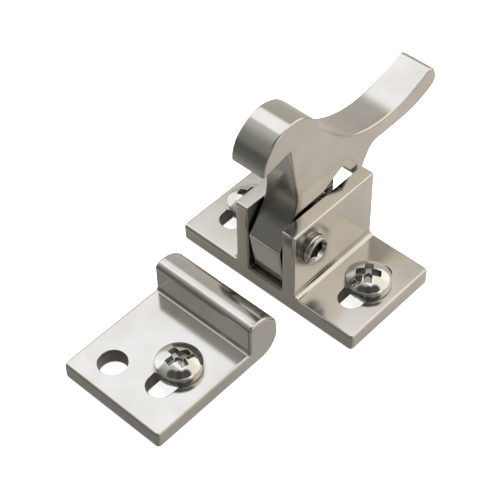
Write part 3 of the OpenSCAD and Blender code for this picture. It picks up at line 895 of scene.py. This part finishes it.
# Round areas of the studio, each with its direction, the cosines of its soft rim and its brightness: a
# second, warmer light at the right and behind, two white ones low at the left and behind, the dark round the
# camera and at its two sides, and a lighter patch at the left and below
STUDIO_AREAS = (
    ((0.42, 0.62, 0.663), (0.79, 0.92), (1.3, 1.21, 1.09)),
    ((-0.95, -0.07, 0.31), (0.87, 0.95), (1.35, 1.36, 1.38)),
    ((0.08, 0.865, 0.49), (0.92, 0.97), (1.4, 1.39, 1.36)),
    ((0.343, -0.364, 0.866), (0.93, 0.975), (0.07, 0.07, 0.065)),
    ((0.534, -0.014, 0.844), (0.94, 0.98), (0.1, 0.1, 0.095)),
    ((-0.019, -0.535, 0.843), (0.94, 0.98), (0.1, 0.1, 0.095)),
    ((-0.57, -0.52, -0.636), (0.983, 0.994), (0.41, 0.39, 0.34)),
)


class ELBOW_OT_stage(bpy.types.Operator):
    """Pale floor, soft studio light and the camera"""

    bl_idname = "elbow.stage"
    bl_label = "Stage"

    def execute(self, context):
        scene = context.scene
        floor = make_object("floor", *carried(circle((0, 0), 900.0, 64), -2.0, -0.02, upward))
        paint = bpy.data.materials.new("floor paint")
        paint.use_nodes = True
        bench = NodeBench(paint.node_tree)
        place = bench.add("ShaderNodeTexCoord").outputs["Object"]
        mottle = bench.add("ShaderNodeTexNoise", Vector=place, Scale=60.0, Detail=3.0).outputs["Fac"]
        rough = bench.add("ShaderNodeMapRange", Value=mottle, To_Min=0.8, To_Max=0.95).outputs["Result"]
        pale = scaled(scene.catch_finish.floor)
        shader = bench.add("ShaderNodeBsdfPrincipled", Base_Color=pale, Roughness=rough, Emission_Color=pale,
                           Emission_Strength=0.9)
        bench.add("ShaderNodeOutputMaterial", Surface=shader.outputs[0])
        floor.data.materials.append(paint)
        floor.visible_glossy = False

        world = bpy.data.worlds.new("studio")
        scene.world = world
        world.use_nodes = True
        bench = NodeBench(world.node_tree)
        way = bench.add("ShaderNodeTexCoord").outputs["Generated"]
        parts = bench.add("ShaderNodeSeparateXYZ", Vector=way).outputs
        angle = bench.add("ShaderNodeMath", {"operation": "ARCTAN2"}, _0=parts["Z"], _1=parts["Y"]).outputs[0]
        share = bench.add("ShaderNodeMapRange", Value=angle, From_Min=-math.pi,
                          From_Max=math.pi).outputs["Result"]
        strips = bench.add("ShaderNodeValToRGB", Fac=share)
        marks = strips.color_ramp.elements
        while len(marks) < len(STUDIO_STRIPS):
            marks.new(0.5)
        for mark, (degrees, bright, tint) in zip(marks, STUDIO_STRIPS):
            mark.position = (degrees + 180) / 360
            mark.color = (*(bright * c for c in tint), 1)
        light = strips.outputs["Color"]
        for toward, rim, bright in STUDIO_AREAS:
            near = bench.add("ShaderNodeVectorMath", {"operation": "DOT_PRODUCT"}, _0=way,
                             _1=toward).outputs["Value"]
            share = bench.add("ShaderNodeMapRange", {"interpolation_type": "SMOOTHSTEP"}, Value=near,
                              From_Min=rim[0], From_Max=rim[1]).outputs["Result"]
            light = blended(bench, share, light, (*bright, 1))
        sky = bench.add("ShaderNodeBackground", Color=light, Strength=1.0)
        bench.add("ShaderNodeOutputWorld", Surface=sky.outputs[0])

        lamp = bpy.data.lights.new("overhead", "AREA")
        lamp.shape = "DISK"
        lamp.size = 0.5
        lamp.energy = 6.0
        overhead = bpy.data.objects.new("overhead", lamp)
        overhead.location = (-0.12, 0.1, 0.7)
        overhead.rotation_euler = Vector(overhead.location).to_track_quat("Z", "Y").to_euler()
        overhead.visible_glossy = False
        scene.collection.objects.link(overhead)

        camera = bpy.data.cameras.new("camera")
        camera.sensor_width = 36.0
        camera.lens = LENS
        camera.clip_start = 0.01
        camera.clip_end = 10.0
        viewer = bpy.data.objects.new("camera", camera)
        turn = Matrix((VIEW_RIGHT, VIEW_UP, VIEW_BACK)).transposed()
        viewer.matrix_world = Matrix.Translation(Vector(EYE) * MM) @ turn.to_4x4()
        scene.collection.objects.link(viewer)
        scene.camera = viewer
        scene.view_settings.view_transform = "Standard"
        return {"FINISHED"}


class ELBOW_PT_panel(bpy.types.Panel):
    """Lists the catch's pieces, sizes and colours"""

    bl_idname = "ELBOW_PT_panel"
    bl_label = "Elbow catch"
    bl_space_type = "VIEW_3D"
    bl_region_type = "UI"
    bl_category = "Elbow catch"

    def draw(self, context):
        column = self.layout.column()
        for operator in OPERATORS:
            column.operator(operator.bl_idname)
        for group in (context.scene.catch_sizes, context.scene.catch_finish):
            for key in group.__annotations__:
                column.prop(group, key)


OPERATORS = (ELBOW_OT_bracket, ELBOW_OT_lever, ELBOW_OT_strike, ELBOW_OT_screws, ELBOW_OT_pivot,
             ELBOW_OT_spring, ELBOW_OT_stage)
CLASSES = (CatchSizes, CatchFinish, *OPERATORS, ELBOW_PT_panel)


def register():
    for cls in CLASSES:
        bpy.utils.register_class(cls)
    bpy.types.Scene.catch_sizes = bpy.props.PointerProperty(type=CatchSizes)
    bpy.types.Scene.catch_finish = bpy.props.PointerProperty(type=CatchFinish)


def unregister():
    del bpy.types.Scene.catch_finish
    del bpy.types.Scene.catch_sizes
    for cls in reversed(CLASSES):
        bpy.utils.unregister_class(cls)


def main():
    register()
    bpy.ops.elbow.bracket()
    bpy.ops.elbow.lever()
    bpy.ops.elbow.strike()
    bpy.ops.elbow.screws()
    bpy.ops.elbow.pivot()
    bpy.ops.elbow.spring()
    bpy.ops.elbow.stage()


if __name__ == "__main__":
    main()
